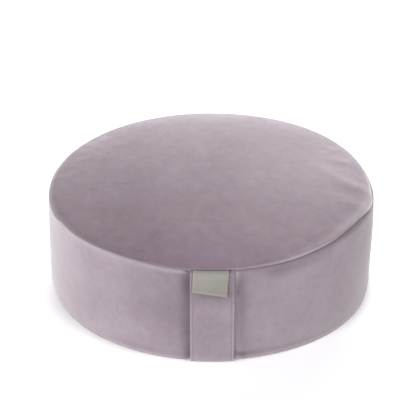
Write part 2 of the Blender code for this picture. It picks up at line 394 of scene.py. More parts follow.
# Small helpers

def mix(low, high, part):
    return low + (high - low) * part


def ease(part):
    part = np.clip(part, 0.0, 1.0)
    return part * part * (3.0 - 2.0 * part)


def hill(distance, spread):
    return np.exp(-((distance / spread) ** 2))


def apart(azimuth, other):
    """Signed angle from other to azimuth, in degrees."""
    return (azimuth - other + 180.0) % 360.0 - 180.0


def around(rows, column, azimuth):
    """A table's column all round the drum, eased from row to row."""
    result = np.zeros_like(azimuth)
    for row, following in zip(rows, rows[1:] + rows[:1]):
        span = (following.azimuth - row.azimuth) % 360.0
        past = (azimuth - row.azimuth) % 360.0
        value = mix(getattr(row, column), getattr(following, column), ease(past / span))
        result = np.where(past < span, value, result)
    return result


def patch(amount, row, azimuth, height):
    """An amount that fades away from a row's azimuth and height on the drum."""
    return amount * hill(apart(azimuth, row.azimuth), row.spread) * hill(height - row.height, row.reach)


def between(values, places):
    """Values at fractional places along the first axis, on smooth curves through the whole ones."""
    last = len(values) - 1
    start = np.clip(np.floor(places).astype(int), 0, last - 1)
    part = (places - start).reshape((-1,) + (1,) * (values.ndim - 1))
    before, low, high, after = (values[np.clip(start + step, 0, last)] for step in (-1, 0, 1, 2))
    return low + 0.5 * part * (high - before + part * (2.0 * before - 5.0 * low + 4.0 * high - after
                                                       + part * (3.0 * (low - high) + after - before)))


def run_along(line):
    """Distance along a line of points, from its first point to each one."""
    return np.concatenate([[0.0], np.cumsum(np.linalg.norm(np.diff(line, axis=0), axis=1))])


# The drum's shape

def channel(azimuth, height=RIM_HEIGHT):
    """1 behind the strap, 0 clear of it."""
    off_middle = np.radians(np.abs(apart(azimuth, STRAP_AZIMUTH))) * RADIUS
    fade = mix(CHANNEL_BASE_FADE, CHANNEL_FADE, ease(height / CHANNEL_WIDENS))
    return ease((CHANNEL_HALF + fade - off_middle) / fade)


def uneven(azimuth, height):
    total = np.zeros_like(azimuth)
    for row in UNEVEN:
        total += patch(row.out, row, azimuth, height)
    return total


def panel_rise(radius, azimuth):
    """How far the filling lifts the top panel above the plain drum, with its creases."""
    part = np.minimum(radius / RADIUS, 1.0)
    edge = EDGE_LIFT * hill(apart(azimuth, EDGE_LIFT_AZIMUTH), EDGE_LIFT_SPREAD)
    total = CROWN * (1.0 - part ** 2) + FALL + (edge - FALL) * part ** FALL_POWER
    x = radius * np.cos(np.radians(azimuth))
    y = radius * np.sin(np.radians(azimuth))
    for row in CREASES:
        cos = math.cos(math.radians(row.turn))
        sin = math.sin(math.radians(row.turn))
        along = (x - row.x) * cos + (y - row.y) * sin
        beside = (y - row.y) * cos - (x - row.x) * sin
        total += row.height * hill(along, row.long) * hill(beside, row.wide)
    return total


def creviced(shoulder, bottom, off_seam, width):
    """Distance from an edge's centre where its cloth rolls from a shoulder into a seam."""
    return shoulder - (shoulder - bottom) * np.exp(-np.abs(off_seam) / width)


def panel_ring(part, azimuth):
    radius = np.full_like(azimuth, part * (RADIUS - TOP_EDGE))
    return radius, RIM_HEIGHT + panel_rise(radius, azimuth)


def roll_end(azimuth):
    """The angle on the top edge where the band starts to roll up into the seam."""
    return np.minimum(around(TOP_SEAM_WANDER, "seam", azimuth) - TOP_SEAM_ROLL, 0.0)


def top_edge_ring(part, azimuth):
    """part runs from 1, where the panel's edge starts to roll, by 0 at the seam, to -1 at the band."""
    seam = around(TOP_SEAM_WANDER, "seam", azimuth)
    behind_strap = channel(azimuth)
    bottom = mix(TOP_EDGE - around(TOP_SEAM_WANDER, "depth", azimuth), TOP_NOTCH, behind_strap)
    if part >= 0.0:
        width = mix(around(TOP_SEAM_WANDER, "panel", azimuth), NOTCH_WIDTH, behind_strap)
        angle = mix(seam, 90.0, part)
        shoulder = TOP_EDGE
    else:
        width = around(TOP_SEAM_WANDER, "band", azimuth)
        angle = mix(seam, roll_end(azimuth), -part)
        shoulder = (TOP_EDGE - CHANNEL_DEPTH * behind_strap) / np.cos(np.radians(np.minimum(angle, 0.0)))
    reach = creviced(shoulder, bottom, angle - seam, width)
    radius = RADIUS - TOP_EDGE + reach * np.cos(np.radians(angle))
    height = RIM_HEIGHT - TOP_EDGE + reach * np.sin(np.radians(angle)) + panel_rise(radius, azimuth)
    return radius, height


def band_ring(part, azimuth):
    top = RIM_HEIGHT - TOP_EDGE + TOP_EDGE * np.tan(np.radians(roll_end(azimuth)))
    height = mix(top + panel_rise(np.full_like(azimuth, RADIUS), azimuth), BASE_EDGE, part)
    radius = RADIUS + BULGE * math.sin(math.pi * part) - CHANNEL_DEPTH * channel(azimuth, height)
    return radius, height


def base_edge_ring(angle, azimuth):
    behind_strap = channel(azimuth, BASE_EDGE)
    shoulder = BASE_EDGE - CHANNEL_DEPTH * behind_strap
    bottom = mix(BASE_EDGE - BASE_SEAM_DEPTH, BASE_NOTCH, behind_strap)
    reach = creviced(shoulder, bottom, angle - BASE_SEAM, BASE_SEAM_WIDTH)
    radius = RADIUS - BASE_EDGE + reach * math.cos(math.radians(angle))
    height = BASE_EDGE + reach * math.sin(math.radians(angle))
    return radius, height


def base_ring(part, azimuth):
    return np.full_like(azimuth, part * (RADIUS - BASE_EDGE) * BASE_SHARE), np.zeros_like(azimuth)


def drum_rows():
    """(ring function, its part) for every ring, from the middle of the top round to that of the base."""
    rows = [(panel_ring, row / PANEL_ROWS) for row in range(1, PANEL_ROWS)]
    rows += [(top_edge_ring, (1.0 - row / EDGE_ROWS) ** TOP_SEAM_CROWDING) for row in range(EDGE_ROWS + 1)]
    rows += [(top_edge_ring, -((row / EDGE_ROWS) ** TOP_SEAM_CROWDING)) for row in range(1, EDGE_ROWS)]
    rows += [(band_ring, row / BAND_ROWS) for row in range(BAND_ROWS)]
    rows += [(base_edge_ring, BASE_SEAM * (1.0 - (1.0 - row / BASE_EDGE_ROWS) ** OVER_BASE_SEAM_CROWDING))
             for row in range(BASE_EDGE_ROWS)]
    rows += [(base_edge_ring, mix(BASE_SEAM, -90.0, (row / BASE_EDGE_ROWS) ** UNDER_BASE_SEAM_CROWDING))
             for row in range(BASE_EDGE_ROWS + 1)]
    rows += [(base_ring, 1.0 - row / BASE_ROWS) for row in range(BASE_ROWS)]
    return rows


def drum_grid(rows, azimuth):
    """Points of the drum as an array of ring by azimuth by XYZ."""
    grid = np.zeros((len(rows), len(azimuth), 3))
    turn = np.radians(azimuth)
    for index, (ring, part) in enumerate(rows):
        radius, height = ring(part, azimuth)
        radius = radius + uneven(azimuth, height) * ease(radius / RADIUS)
        above_floor = np.maximum(height, 0.0)
        grid[index] = np.stack([radius * np.cos(turn), radius * np.sin(turn), above_floor], axis=1)
    return grid


def directions_out(grid):
    """Unit vectors that point out of the drum at every point of its grid."""
    along = np.gradient(grid, axis=0)
    beside = np.roll(grid, -1, axis=1) - np.roll(grid, 1, axis=1)
    out = np.cross(along, beside)
    return out / np.linalg.norm(out, axis=2, keepdims=True)


def new_mesh(name, points, edges, faces):
    mesh = bpy.data.meshes.new(name)
    mesh.from_pydata([tuple(point) for point in points], edges, faces)
    return mesh


def closed_drum(name, grid, top, base):
    """A closed mesh through the rings, with a point in the middle of its top and of its base."""
    rings, steps, _ = grid.shape
    faces = []
    for step in range(steps):
        beside = (step + 1) % steps
        faces.append((rings * steps, step, beside))
        faces.append((rings * steps + 1, (rings - 1) * steps + beside, (rings - 1) * steps + step))
        for ring in range(rings - 1):
            faces.append((ring * steps + step, (ring + 1) * steps + step,
                          (ring + 1) * steps + beside, ring * steps + beside))
    return new_mesh(name, [*grid.reshape(-1, 3), top, base], [], faces)


def linked(name, mesh):
    item = bpy.data.objects.new(name, mesh)
    bpy.context.scene.collection.objects.link(item)
    return item


def faced_out(mesh):
    form = bmesh.new()
    form.from_mesh(mesh)
    bmesh.ops.recalc_face_normals(form, faces=form.faces)
    form.to_mesh(mesh)
    form.free()
    mesh.shade_smooth()


def coarse_rings(rows, run, seam, base):
    """The rings of the fine drum that the coarser one takes, the seam's and the base's among them."""
    picked = [int(np.searchsorted(run, SLACK_PINNED_RUN))]
    for row in range(len(rows)):
        near_seam = row != seam and abs(run[row] - run[seam]) < SLACK_CELL * SLACK_SEAM_CLEAR
        if row == seam or (run[row] - run[picked[-1]] > SLACK_CELL and not near_seam and row <= base):
            picked.append(row)
    return picked + [row for row in (base, base + 2 * BASE_EDGE_ROWS, len(rows) - 2) if row > picked[-1]]


def blown_up(start, holding):
    """Where a coarse drum's points settle as cloth that is held along some rings and filled."""
    mesh = closed_drum("slack_cloth", start, (0.0, 0.0, start[0, 0, 2]), (0.0, 0.0, 0.0))
    item = linked("slack_cloth", mesh)
    faced_out(mesh)
    held = item.vertex_groups.new(name="held")
    points = [row * SLACK_STEPS + step for row in holding for step in range(SLACK_STEPS)]
    held.add(points + [len(mesh.vertices) - 2, len(mesh.vertices) - 1], 1.0, "REPLACE")
    cloth = item.modifiers.new("Filled cover", "CLOTH")
    for name, value in SLACK_CLOTH.items():
        setattr(cloth.settings, name, value)
    cloth.settings.vertex_group_mass = "held"
    cloth.settings.effector_weights.gravity = 0.0
    cloth.collision_settings.use_collision = False
    for frame_number in range(1, SLACK_FRAMES + 1):
        bpy.context.scene.frame_set(frame_number)
    graph = bpy.context.evaluated_depsgraph_get()
    settled = np.empty(len(mesh.vertices) * 3)
    item.evaluated_get(graph).data.vertices.foreach_get("co", settled)
    bpy.data.objects.remove(item, do_unlink=True)
    bpy.context.scene.frame_set(1)
    return settled.reshape(-1, 3)[:-2].reshape(start.shape)


def slack_cloth(rows, azimuth, run):
    """How far filling and sewing push the cover's slack cloth out or in, for every point of the drum.

    A coarser drum, held at its seams and base, is blown up by its filling as slightly larger cloth.
    """
    seam = rows.index((top_edge_ring, 0.0))
    base = rows.index((base_edge_ring, 0.0))
    picked = coarse_rings(rows, run, seam, base)
    holding = [0, picked.index(seam), len(picked) - 3, len(picked) - 2, len(picked) - 1]
    before = drum_grid([rows[row] for row in picked], azimuth[::STEPS // SLACK_STEPS])
    start = before.copy()
    chance = np.random.default_rng(SLACK_SEED)
    start[1:-3, :, 2] += chance.normal(0.0, SLACK_START, start[1:-3, :, 2].shape)
    push = ((blown_up(start, holding) - before) * directions_out(before)).sum(axis=2)
    push -= push.mean(axis=1, keepdims=True)
    push[holding] = 0.0
    fine = between(push, np.interp(run, run[picked], np.arange(len(picked))))
    lap = 2
    wrapped = np.concatenate([fine[:, -lap:], fine, fine[:, :lap + 1]], axis=1).T
    fine = between(wrapped, lap + np.arange(STEPS) * SLACK_STEPS / STEPS).T
    share = around(SLACK, "share", azimuth) * (1.0 - channel(azimuth))
    share = share * ease((run - SLACK_FROM) / (SLACK_FULL - SLACK_FROM))[:, None]
    fine = SLACK_LIMIT * np.tanh(fine * share / SLACK_LIMIT)
    fine[base:] = 0.0
    return fine


def beside_seam(side, distance, azimuth):
    """Painted light and shade on the panel's or the band's side of the top seam, by the distance from the
    seam.
    """
    tone, off, reach = (around(SEAM_PAINTED_LIGHT, side + part, azimuth) for part in ("", "_off", "_reach"))
    return tone * hill(distance - off, reach)


def drum_painted_light(rows, azimuth, grid, run):
    """Painted light and shade at every point of the drum, 1 for plain, and the share of painted sheen at the
    panel's edge.
    """
    past_seam = (run - run[rows.index((top_edge_ring, 0.0))])[:, None]
    x, y, height = np.moveaxis(grid, 2, 0)
    panel = np.zeros(grid.shape[:2])
    for row in PANEL_PAINTED_LIGHT:
        panel += row.tone * hill(np.hypot(x - row.x, y - row.y), row.reach)
    panel += beside_seam("panel", -past_seam, azimuth)
    panel += SEAM_EDGE_SHADE * hill(past_seam, SEAM_EDGE_REACH)
    band = np.broadcast_to(around(BAND_PAINTED_LIGHT, "tone", azimuth), grid.shape[:2]).copy()
    band += beside_seam("band", past_seam, azimuth)
    for row in BAND_PAINTED_PATCHES:
        band += patch(row.tone, row, azimuth, height)
    band += around(BASE_PAINTED_LIGHT, "foot", azimuth) * hill(height, BASE_FOOT)
    band += around(BASE_PAINTED_LIGHT, "lip", azimuth) * ease((BASE_LIP - height) / (BASE_LIP / 2.0))
    band += around(BASE_PAINTED_LIGHT, "line", azimuth) * hill(height - BASE_LINE, BASE_LINE_REACH)
    inside_foot = ease((RADIUS - UNDERSIDE_INSET - np.hypot(x, y)) / UNDERSIDE_INSET)
    band *= 1.0 - inside_foot * (height < BASE_LINE)
    on_band = past_seam > 0.0
    painted_edge_sheen = np.where(on_band, 0.0, EDGE_SHEEN_SHARE * hill(past_seam, EDGE_SHEEN_REACH))
    return 1.0 + np.where(on_band, band, panel), np.broadcast_to(painted_edge_sheen, grid.shape[:2])


def store(mesh, name, values):
    stored = mesh.attributes.new(name, "FLOAT", "POINT")
    stored.data.foreach_set("value", np.asarray(values, dtype=np.float32).ravel())


def make_cushion(panel, band, base):
    """Top panel, side band and base panel, sewn together and filled, each with its own velvet."""
    rows = drum_rows()
    azimuth = np.arange(STEPS) * 360.0 / STEPS - 180.0
    grid = drum_grid(rows, azimuth)
    # Distance over the cloth to each ring, along an azimuth clear of the strap
    run = run_along(grid[:, 0])
    # Painted light and shade, and painted sheen at the panel's edge, stored on the mesh for the velvets
    painted_light, painted_edge_sheen = drum_painted_light(rows, azimuth, grid, run)
    grid = grid + directions_out(grid) * slack_cloth(rows, azimuth, run)[:, :, None]
    mesh = closed_drum("filled_cushion", grid, (0.0, 0.0, RIM_HEIGHT + CROWN + FALL), (0.0, 0.0, 0.0))
    store(mesh, "painted_light", np.append(painted_light.ravel(), (painted_light[0].mean(), painted_light[-1].mean())))
    store(mesh, "painted_edge_sheen", np.append(painted_edge_sheen.ravel(), (0.0, 0.0)))
    last_panel_ring = sum(ring is panel_ring or (ring is top_edge_ring and part > 0.0)
                          for ring, part in rows)
    first_base_ring = len(rows) - 1 - sum(ring is base_ring or (ring is base_edge_ring and part < BASE_SEAM)
                                          for ring, part in rows)
    for material in (panel, band, base):
        mesh.materials.append(material)
    panel_slot, band_slot, base_slot = range(3)
    ring_of = np.arange(len(mesh.vertices)) // STEPS
    ring_of[-2:] = (0, len(rows))
    for face in mesh.polygons:
        rings = [ring_of[vertex] for vertex in face.vertices]
        if max(rings) <= last_panel_ring:
            face.material_index = panel_slot
        elif min(rings) >= first_base_ring:
            face.material_index = base_slot
        else:
            face.material_index = band_slot
    cushion = linked("filled_cushion", mesh)
    faced_out(mesh)
    return cushion


# The strap's shape

STRAP_LINE = between(np.array(STRAP_STATIONS),
                     np.linspace(0.0, len(STRAP_STATIONS) - 1.0,
                                 STEPS_BETWEEN_STATIONS * (len(STRAP_STATIONS) - 1) + 1))
STRAP_RUN = run_along(STRAP_LINE)
STRAP_LENGTH = STRAP_RUN[-1]


def strap_line(distance):
    """(out, height) at a distance down the strap's middle line."""
    return tuple(np.interp(distance, STRAP_RUN, column) for column in STRAP_LINE.T)


def along_strap(distance, lift):
    """The same, lifted off the line."""
    step = STRAP_LENGTH / STRAP_SLOPE_STEPS
    out, height = strap_line(distance)
    before = strap_line(np.clip(distance - step, 0.0, STRAP_LENGTH))
    after = strap_line(np.clip(distance + step, 0.0, STRAP_LENGTH))
    run_out = after[0] - before[0]
    run_up = after[1] - before[1]
    long = np.hypot(run_out, run_up)
    return out - run_up / long * lift, height + run_out / long * lift


def strap_place(distance, across, lift=0.0):
    """World points over the strap: down from its top end, across from its middle, lifted off it."""
    out, height = along_strap(distance, lift)
    radius = RADIUS + out
    turn = across / radius
    flat = STRAP_FLATTEN * np.sin(np.pi * distance / STRAP_LENGTH) * radius * (1.0 - np.cos(turn))
    return np.stack([radius * np.sin(turn), -radius * np.cos(turn) - flat, height], axis=-1)


def strap_half_thickness(across):
    """Half the strap's thickness across it: full folded edges, pinched by the topstitching."""
    half = STRAP_WIDTH / 2.0
    rounding = STRAP_THICK / 2.0
    past = np.clip((np.abs(across) - (half - rounding)) / rounding, 0.0, 1.0)
    edge = rounding * np.sqrt(1.0 - past ** 2)
    pinch = STITCH_DIP * hill(np.abs(across) - (half - STITCH_INSET), STITCH_DIP_WIDTH)
    middle = STRAP_THINNER * ease((half - STITCH_INSET - np.abs(across)) / STRAP_THINNER_FADE)
    return edge - pinch - middle


def strap_painted_light(distance, across):
    """Painted light and shade on the strap's pile, down it and across it, 1 for plain, with the label's
    painted shadow.
    """
    painted_light = np.interp(distance, [row.distance for row in STRAP_PAINTED_LIGHT], [row.tone for row in STRAP_PAINTED_LIGHT])
    to_fold = STRAP_WIDTH / 2.0 - np.abs(across)
    painted_light += STRAP_EDGE_HIGHLIGHT * ease((STITCH_INSET - to_fold) / STRAP_EDGE_FADE)
    painted_light += STRAP_FOLD_SHADE * ease(1.0 - to_fold / STRAP_FOLD)
    label_part = (across - LABEL_LEFT.at_corner) / (LABEL_RIGHT.at_corner - LABEL_LEFT.at_corner)
    under_label = distance - label_length(np.clip(label_part, 0.0, 1.0))
    off_middle = np.abs(label_part - LABEL_SHADE_MIDDLE)
    share = ease(1.0 - off_middle * LABEL_SHADE_FALL + LABEL_SHADE_FULL)
    return painted_light + LABEL_SHADE * hill(under_label - LABEL_SHADE_REACH / 2.0, LABEL_SHADE_REACH) * share


def make_strap():
    """Velvet folded double and topstitched close to both folds, its ends caught in the seams."""
    spread = np.sin(np.linspace(-0.5, 0.5, STRAP_FACE_COLUMNS + 1) * math.pi * STRAP_COLUMN_SWEEP)
    even = np.linspace(-1.0, 1.0, STRAP_FACE_COLUMNS + 1)
    across = mix(even, spread, STRAP_COLUMN_CROWDING) * STRAP_WIDTH / 2.0
    lift = strap_half_thickness(across)
    section = np.concatenate([np.stack([across, lift], 1), np.stack([across, -lift], 1)[-2:0:-1]])
    down = np.linspace(0.0, 1.0, STRAP_ROWS + 1)
    down = down - STRAP_ROW_CROWDING * np.sin(2.0 * np.pi * down) / (2.0 * np.pi)
    distance, section_across = np.meshgrid(down * STRAP_LENGTH, section[:, 0], indexing="ij")
    section_lift = np.broadcast_to(section[:, 1], distance.shape)
    points = strap_place(distance, section_across, section_lift)
    count = len(section)
    faces = [(row * count + column, (row + 1) * count + column,
              (row + 1) * count + (column + 1) % count, row * count + (column + 1) % count)
             for row in range(STRAP_ROWS) for column in range(count)]
    for first in (0, STRAP_ROWS * count):
        fold = first + STRAP_FACE_COLUMNS
        faces.append((first + 1, first, first + count - 1))
        faces += [(first + column, first + column - 1, first + count - column + 1, first + count - column)
                  for column in range(2, STRAP_FACE_COLUMNS)]
        faces.append((fold - 1, fold, fold + 1))
    mesh = new_mesh("velvet_strap", points.reshape(-1, 3), [], faces)
    store(mesh, "painted_light", strap_painted_light(distance, section_across))
    faced_out(mesh)
    return linked("velvet_strap", mesh)


def stitch_paths():
    """The four lines of topstitching: both sides of the strap, on both faces."""
    inset = STRAP_WIDTH / 2.0 - STITCH_INSET
    lift = float(strap_half_thickness(np.array(inset))) + THREAD * THREAD_PROUD
    distance = np.linspace(STITCH_FROM_TOP, STRAP_LENGTH - STITCH_FROM_FOOT, STITCH_LINE_POINTS)
    points = []
    edges = []
    for across in (-inset, inset):
        for side in (lift, -lift):
            first = len(points)
            points += [*strap_place(distance, np.full_like(distance, across), side)]
            edges += [(first + row, first + row + 1) for row in range(STITCH_LINE_POINTS - 1)]
    return new_mesh("topstitching", points, edges, [])


# Geometry Nodes

def new_tree(name, inputs):
    """An empty geometry tree with a mesh in, a mesh out and named sizes, and its sizes' identifiers."""
    tree = bpy.data.node_groups.new(name, "GeometryNodeTree")
    tree.is_modifier = True
    tree.interface.new_socket("Geometry", in_out="INPUT", socket_type="NodeSocketGeometry")
    tree.interface.new_socket("Geometry", in_out="OUTPUT", socket_type="NodeSocketGeometry")
    sockets = {}
    for label in inputs:
        socket = tree.interface.new_socket(label, in_out="INPUT", socket_type="NodeSocketFloat")
        sockets[label] = socket.identifier
    return tree, sockets


def add(tree, kind, **settings):
    node = tree.nodes.new(kind)
    for name, value in settings.items():
        setattr(node, name, value)
    return node


def set_inputs(node, values):
    """Links other nodes' outputs to a node's inputs, or sets them to numbers, vectors and colours."""
    for label, value in values.items():
        socket = node.inputs[label]
        if isinstance(value, bpy.types.NodeSocket):
            node.id_data.links.new(value, socket)
        elif socket.type == "RGBA":
            socket.default_value = (*value, 1.0)
        else:
            socket.default_value = value


def wire(tree, links):
    """Links each node's output to another node's input."""
    for source, output, target, entry in links:
        tree.links.new(source.outputs[output], target.inputs[entry])


def taken_up(item):
    """Takes an object's modifiers up into a plain mesh."""
    graph = bpy.context.evaluated_depsgraph_get()
    mesh = bpy.data.meshes.new_from_object(item.evaluated_get(graph))
    item.modifiers.clear()
    item.data = mesh


def run_tree(item, tree, sockets, sizes):
    """Runs a geometry tree on an object, with its sizes, and keeps the result as a plain mesh."""
    modifier = item.modifiers.new(tree.name, "NODES")
    modifier.node_group = tree
    for label, size in sizes.items():
        modifier[sockets[label]] = size
    taken_up(item)


def end_tree(tree, last, output, material):
    """Ends a tree: its instances are made real, and its material is set."""
    solid = add(tree, "GeometryNodeRealizeInstances")
    finish = add(tree, "GeometryNodeSetMaterial")
    set_inputs(finish, {"Material": material})
    end = add(tree, "NodeGroupOutput")
    wire(tree, (
        (last, output, solid, "Geometry"),
        (solid, "Geometry", finish, "Geometry"),
        (finish, "Geometry", end, "Geometry"),
    ))


def topstitch_tree(thread):
    """Stitches of a thread, one after another along the lines of a mesh."""
    tree, sockets = new_tree("Topstitch", ("Stitch pitch", "Stitch length", "Thread thickness"))
    start = add(tree, "NodeGroupInput")
    line = add(tree, "GeometryNodeMeshToCurve")
    spaced = add(tree, "GeometryNodeResampleCurve", mode="LENGTH")
    tangent = add(tree, "GeometryNodeInputTangent")
    turn = add(tree, "FunctionNodeAlignRotationToVector", axis="X")
    ball = add(tree, "GeometryNodeMeshUVSphere")
    set_inputs(ball, {"Segments": STITCH_SEGMENTS, "Rings": STITCH_RINGS, "Radius": STITCH_BALL_RADIUS})
    smooth = add(tree, "GeometryNodeSetShadeSmooth")
    size = add(tree, "ShaderNodeCombineXYZ")
    stitch = add(tree, "GeometryNodeTransform")
    place = add(tree, "GeometryNodeInstanceOnPoints")
    wire(tree, (
        (start, "Geometry", line, "Mesh"),
        (line, "Curve", spaced, "Curve"),
        (start, "Stitch pitch", spaced, "Length"),
        (spaced, "Curve", place, "Points"),
        (start, "Stitch length", size, "X"),
        (start, "Thread thickness", size, "Y"),
        (start, "Thread thickness", size, "Z"),
        (ball, "Mesh", smooth, "Geometry"),
        (smooth, "Geometry", stitch, "Geometry"),
        (size, "Vector", stitch, "Scale"),
        (stitch, "Geometry", place, "Instance"),
        (tangent, "Tangent", turn, "Vector"),
        (turn, "Rotation", place, "Rotation"),
    ))
    end_tree(tree, place, "Instances", thread)
    return tree, sockets


def ribbon_rib_tree(ribbon):
    """Raises the fine cross ribs that a ribbon's weft makes, by the distance stored along it."""
    tree, sockets = new_tree("Ribbon ribs", ("Rib pitch", "Rib height"))
    start = add(tree, "NodeGroupInput")
    along = add(tree, "GeometryNodeInputNamedAttribute", data_type="FLOAT")
    set_inputs(along, {"Name": "along"})
    turns = add(tree, "ShaderNodeMath", operation="DIVIDE")
    angle = add(tree, "ShaderNodeMath", operation="MULTIPLY")
    set_inputs(angle, {1: math.tau})
    wave = add(tree, "ShaderNodeMath", operation="SINE")
    height = add(tree, "ShaderNodeMath", operation="MULTIPLY")
    normal = add(tree, "GeometryNodeInputNormal")
    offset = add(tree, "ShaderNodeVectorMath", operation="SCALE")
    raised = add(tree, "GeometryNodeSetPosition")
    wire(tree, (
        (start, "Geometry", raised, "Geometry"),
        (along, "Attribute", turns, 0),
        (start, "Rib pitch", turns, 1),
        (turns, 0, angle, 0),
        (angle, 0, wave, 0),
        (wave, 0, height, 0),
        (start, "Rib height", height, 1),
        (normal, "Normal", offset, "Vector"),
        (height, 0, offset, "Scale"),
        (offset, "Vector", raised, "Offset"),
    ))
    end_tree(tree, raised, "Geometry", ribbon)
    return tree, sockets


def make_topstitching(thread):
    stitching = linked("topstitching", stitch_paths())
    tree, sockets = topstitch_tree(thread)
    sizes = {"Stitch pitch": STITCH_PITCH, "Stitch length": STITCH_LENGTH, "Thread thickness": THREAD}
    run_tree(stitching, tree, sockets, sizes)
    return stitching


def label_length(across):
    return LABEL_TUCK + mix(LABEL_LEFT.length, LABEL_RIGHT.length, across)


def make_label(ribbon):
    """Ribbon folded in two at its lower edge, a little askew, standing off the strap."""
    across, run = np.meshgrid(np.linspace(0.0, 1.0, RIBBON_COLUMNS + 1),
                              np.linspace(0.0, 2.0, RIBBON_ROWS + 1), indexing="ij")
    down = 1.0 - np.abs(1.0 - run)
    down = 1.0 - np.sqrt((1.0 - down) ** 2 + RIBBON_FOLD_ROUNDING) + math.sqrt(RIBBON_FOLD_ROUNDING)
    left = mix(LABEL_LEFT.at_seam, LABEL_LEFT.at_corner, down)
    right = mix(LABEL_RIGHT.at_seam, LABEL_RIGHT.at_corner, down)
    length = label_length(across)
    to_fold = (1.0 - down) * length
    puff = RIBBON_FOLD_PUFF * hill(to_fold - RIBBON_PUFF_OFF, RIBBON_PUFF_REACH)
    open_up = np.tanh((1.0 - run) * length / RIBBON_OPENS)
    layer = (RIBBON_LAYERS_APART / 2.0 + puff) * open_up
    lift = LABEL_REST + mix(LABEL_LEFT.lift, LABEL_RIGHT.lift, across) * down ** 2 + layer
    points = strap_place(down * length, mix(left, right, across), lift)
    rows = RIBBON_ROWS + 1
    faces = [(column * rows + row, column * rows + row + 1,
              (column + 1) * rows + row + 1, (column + 1) * rows + row)
             for column in range(RIBBON_COLUMNS) for row in range(RIBBON_ROWS)]
    mesh = new_mesh("ribbon_label", points.reshape(-1, 3), [], faces)
    store(mesh, "along", run * label_length(0.5))
    mesh.shade_smooth()
    label = linked("ribbon_label", mesh)
    tree, sockets = ribbon_rib_tree(ribbon)
    run_tree(label, tree, sockets, {"Rib pitch": RIB_PITCH, "Rib height": RIB_HEIGHT})
    shell = label.modifiers.new("Thickness", "SOLIDIFY")
    shell.thickness = RIBBON_THICK
    shell.offset = 0.0
    taken_up(label)
    faced_out(label.data)
    return label


# Materials: noise patterns, colours, bumps and finishes

Pattern = namedtuple("Pattern", "scale detail roughness")
PILE_TIPS = Pattern(scale=950.0, detail=2.0, roughness=0.5)
THREAD_TWIST = Pattern(scale=4000.0, detail=2.0, roughness=0.5)
RIBBON_SLUB = Pattern(scale=420.0, detail=4.0, roughness=0.6)
RIBBON_FADE = Pattern(scale=60.0, detail=2.0, roughness=0.5)
PAPER_GRAIN = Pattern(scale=40.0, detail=2.0, roughness=0.5)

# The velvets, each of deep and pale pile in brushed patches and finer crushing
# Painted light: the three are one velvet, painted more saturated on the top panel and a little lighter on the
# strap than on the band, for how light and sheen fall on each
PANEL_VELVET, BAND_VELVET, STRAP_VELVET = table(
    "name deep pale turn stretch patch_scale crush_scale sheen",
    ("panel_velvet", (0.286, 0.190, 0.251), (0.356, 0.254, 0.320), 12, (0.85, 0.75, 1.0), 15.0, 95.0, 0.82),
    ("band_velvet", (0.258, 0.208, 0.242), (0.302, 0.251, 0.288), 0, (1.0, 1.0, 1.0), 18.0, 90.0, 0.8),
    ("strap_velvet", (0.271, 0.220, 0.254), (0.312, 0.260, 0.296), 0, (1.2, 1.0, 0.9), 26.0, 120.0, 0.75),
)
BASE_VELVET = BAND_VELVET._replace(name="base_velvet")
PATCH_DETAIL = 3.0
PATCH_ROUGHNESS = 0.55
PATCH_BUMP = 0.0003
CRUSH_DETAIL = 6.0
CRUSH_ROUGHNESS = 0.62
CRUSH_BUMP = 0.0001
TIP_BUMP = 0.00006

# The sum of both patterns that gives the deepest and the palest pile, and how dark and light its tips are
PILE_RANGE = (0.75, 1.25)
TIP_RANGE = (0.80, 1.20)
VELVET_FINISH = {"Roughness": 1.0, "Specular IOR Level": 0.15,
                 "Sheen Roughness": 0.42, "Sheen Tint": (1.0, 1.0, 1.0)}

THREAD_DEEP = (0.20, 0.145, 0.185)
THREAD_PALE = (0.34, 0.27, 0.32)
THREAD_BUMP = 0.00005
THREAD_FINISH = {"Roughness": 0.55}

RIBBON_DEEP = (0.234, 0.224, 0.196)
RIBBON_PALE = (0.316, 0.304, 0.270)
RIBBON_BUMP = 0.00008
RIBBON_FINISH = {"Roughness": 0.62, "Sheen Weight": 0.15}

# The Mix node's sockets for two colours and their blend
MIX_LOW = 6
MIX_HIGH = 7
MIX_RESULT = 2


def new_material(name):
    material = bpy.data.materials.new(name)
    material.use_nodes = True
    tree = material.node_tree
    return material, tree, tree.nodes["Principled BSDF"]


def placed(tree, turn=0, stretch=(1, 1, 1)):
    """Object coordinates, rotated about +Z and stretched so that a pattern runs along the pile."""
    where = add(tree, "ShaderNodeTexCoord").outputs["Object"]
    mapping = add(tree, "ShaderNodeMapping")
    set_inputs(mapping, {"Vector": where, "Rotation": (0.0, 0.0, math.radians(turn)), "Scale": stretch})
    return mapping.outputs["Vector"]


def noise(tree, place, scale, detail, roughness):
    node = add(tree, "ShaderNodeTexNoise")
    set_inputs(node, {"Vector": place, "Scale": scale, "Detail": detail, "Roughness": roughness})
    return node.outputs["Fac"]


def painted(tree, name):
    """A value stored at the points of the mesh."""
    return add(tree, "ShaderNodeAttribute", attribute_name=name).outputs["Fac"]


def combined(tree, operation, first, second):
    """Two numbers added, subtracted or multiplied."""
    node = add(tree, "ShaderNodeMath", operation=operation)
    set_inputs(node, {0: first, 1: second})
    return node.outputs[0]


def ranged(tree, value, start, end, to_start, to_end, way="LINEAR"):
    """A value carried from one range to another."""
    node = add(tree, "ShaderNodeMapRange", interpolation_type=way)
    set_inputs(node, {"Value": value, "From Min": start, "From Max": end,
                      "To Min": to_start, "To Max": to_end})
    return node.outputs["Result"]


def blended(tree, share, low, high, way="MIX"):
    """Two colours blended by a share."""
    node = add(tree, "ShaderNodeMix", data_type="RGBA", blend_type=way)
    set_inputs(node, {"Factor": share, MIX_LOW: low, MIX_HIGH: high})
    return node.outputs[MIX_RESULT]


